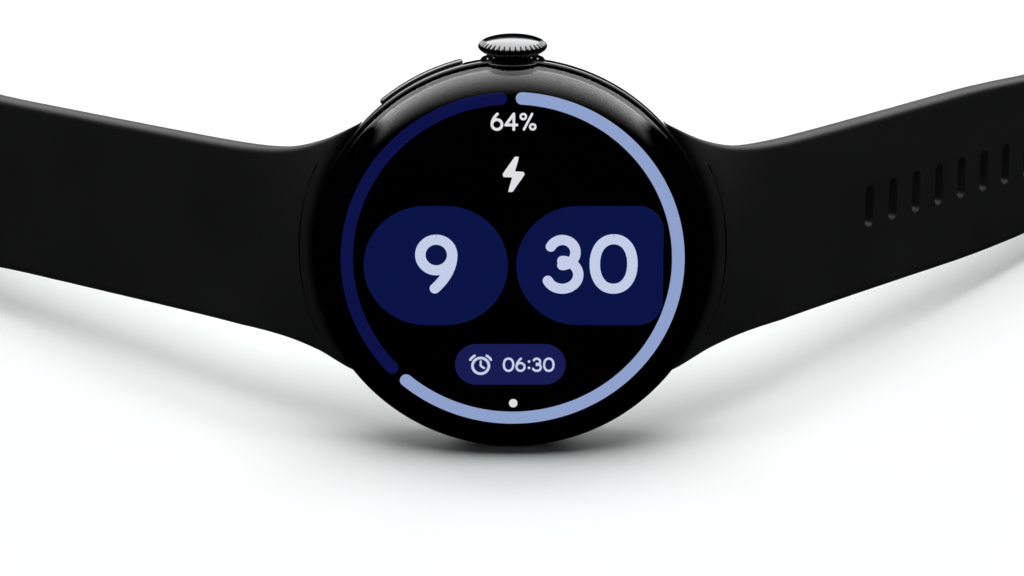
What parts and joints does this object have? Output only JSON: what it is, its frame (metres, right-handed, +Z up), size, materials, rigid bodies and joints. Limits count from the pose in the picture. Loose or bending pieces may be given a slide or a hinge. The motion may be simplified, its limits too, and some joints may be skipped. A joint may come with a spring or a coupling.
{
  "type": "smartwatch",
  "caption": "Round smartwatch with a domed glass, a fluted turning crown, a side button and a flexing rubber strap with a stud fastener, standing on its side.",
  "frame": {"origin": "middle of the bounding box's foot, on the surface that the watch stands on", "axes": "+X from the fastener strap to the tail strap, -Y to the front, where the screen faces, leaning back 10.72 degrees, +Z up, towards the crown"},
  "size_m": [0.1562, 0.0838, 0.0464],
  "materials": {
    "back_glass": "gloss black",
    "battery_foil": "foil pouch",
    "button_metal": "polished black anodised",
    "case_metal": "polished black anodised",
    "circuit_board": "solder mask over glass fibre",
    "connector_metal": "dark coated, satin",
    "cover_glass": "clear domed glass over a black surround",
    "crown_metal": "polished black anodised, fluted",
    "display": "black panel with a lit picture",
    "electrode_metal": "thin metal film, satin",
    "flex_circuit": "amber film",
    "gold_plate": "gold plated",
    "inner_plastic": "moulded",
    "inner_steel": "satin",
    "led": "clear epoxy over a green emitter",
    "photodiode": "dark epoxy",
    "seal_rubber": "matte",
    "shield_can": "tinned sheet",
    "strap_rubber": "matte black, fine moulded grain",
    "stud_metal": "black coated, satin",
    "window_glass": "dark tinted gloss"
  },
  "bodies": {
    "case": {"antenna_flex": "flex_circuit", "back_cover": "back_glass", "back_screw_1": "inner_steel", "back_screw_2": "inner_steel", "back_screw_3": "inner_steel", "back_screw_4": "inner_steel", "back_seal": "seal_rubber", "battery": "battery_foil", "case_housing": "case_metal", "charge_contact_left": "gold_plate", "charge_contact_right": "gold_plate", "charge_insert": "inner_plastic", "cover_glass": "cover_glass", "crown_bushing": "inner_steel", "crown_seal": "seal_rubber", "crown_switch": "inner_plastic", "display_carrier": "shield_can", "display_flex": "flex_circuit", "display_panel": "display", "fastener_strap_connector": "connector_metal", "fastener_strap_root": "strap_rubber", "glass_seal": "seal_rubber", "haptic_motor": "inner_steel", "inner_frame": "inner_plastic", "main_board": "circuit_board", "microphone": "inner_steel", "photodiode_1": "photodiode", "photodiode_2": "photodiode", "photodiode_3": "photodiode", "photodiode_4": "photodiode", "processor_shield": "shield_can", "pulse_led": "led", "radio_shield": "shield_can", "sensor_board": "circuit_board", "sensor_window": "window_glass", "side_button_switch": "inner_plastic", "skin_electrode_left": "electrode_metal", "skin_electrode_right": "electrode_metal", "speaker": "inner_plastic", "tail_strap_connector": "connector_metal", "tail_strap_root": "strap_rubber"},
    "crown_carriage": {"crown_thrust_pad": "inner_steel"},
    "crown": {"crown_cap": "crown_metal", "crown_stem": "inner_steel"},
    "side_button": {"side_button": "button_metal", "side_button_plunger": "inner_steel"},
    "fastener_release": {"fastener_strap_release_button": "inner_steel"},
    "fastener_middle": {"fastener_strap_middle": "strap_rubber"},
    "fastener_end": {"fastener_strap_end": "strap_rubber", "strap_stud": "stud_metal"},
    "tail_release": {"tail_strap_release_button": "inner_steel"},
    "tail_middle": {"tail_strap_middle": "strap_rubber"},
    "tail_end": {"tail_strap_end": "strap_rubber"}
  },
  "joints": [
    {"name": "crown_press", "type": "slide", "parent": "case", "child": "crown_carriage", "axis": [0, -0.186, -0.9825], "range_m": [0, 0.0002], "stiffness_N_per_m": 600},
    {"name": "crown_turn", "type": "hinge", "parent": "crown_carriage", "child": "crown", "pos_m": [0.00478, -0.02879, 0.04154], "axis": [0, 0.186, 0.9825], "continuous": true},
    {"name": "side_button_press", "type": "slide", "parent": "case", "child": "side_button", "axis": [0.461, -0.1651, -0.8719], "range_m": [0, 0.00025], "stiffness_N_per_m": 400},
    {"name": "fastener_release_press", "type": "slide", "parent": "case", "child": "fastener_release", "axis": [0, -0.9825, 0.186], "range_m": [0, 0.0008], "stiffness_N_per_m": 300},
    {"name": "tail_release_press", "type": "slide", "parent": "case", "child": "tail_release", "axis": [0, -0.9825, 0.186], "range_m": [0, 0.0008], "stiffness_N_per_m": 300},
    {"name": "fastener_root_flex", "type": "hinge", "parent": "case", "child": "fastener_middle", "pos_m": [-0.02616, -0.02547, 0.02056], "axis": [0, -0.186, -0.9825], "range_deg": [-15, 30], "stiffness_Nm_per_rad": 0.05},
    {"name": "fastener_middle_flex", "type": "hinge", "parent": "fastener_middle", "child": "fastener_end", "pos_m": [-0.05453, -0.00369, 0.01644], "axis": [0, -0.186, -0.9825], "range_deg": [-15, 30], "stiffness_Nm_per_rad": 0.05},
    {"name": "tail_root_flex", "type": "hinge", "parent": "case", "child": "tail_middle", "pos_m": [0.03527, -0.02385, 0.02025], "axis": [0, 0.186, 0.9825], "range_deg": [-15, 30], "stiffness_Nm_per_rad": 0.05},
    {"name": "tail_middle_flex", "type": "hinge", "parent": "tail_middle", "child": "tail_end", "pos_m": [0.06365, 0.00658, 0.01449], "axis": [0, 0.186, 0.9825], "range_deg": [-15, 30], "stiffness_Nm_per_rad": 0.05}
  ],
  "couplings": [
    {"joint": "fastener_middle_flex", "follows": "fastener_root_flex", "ratio": 1},
    {"joint": "tail_middle_flex", "follows": "tail_root_flex", "ratio": 1}
  ]
}
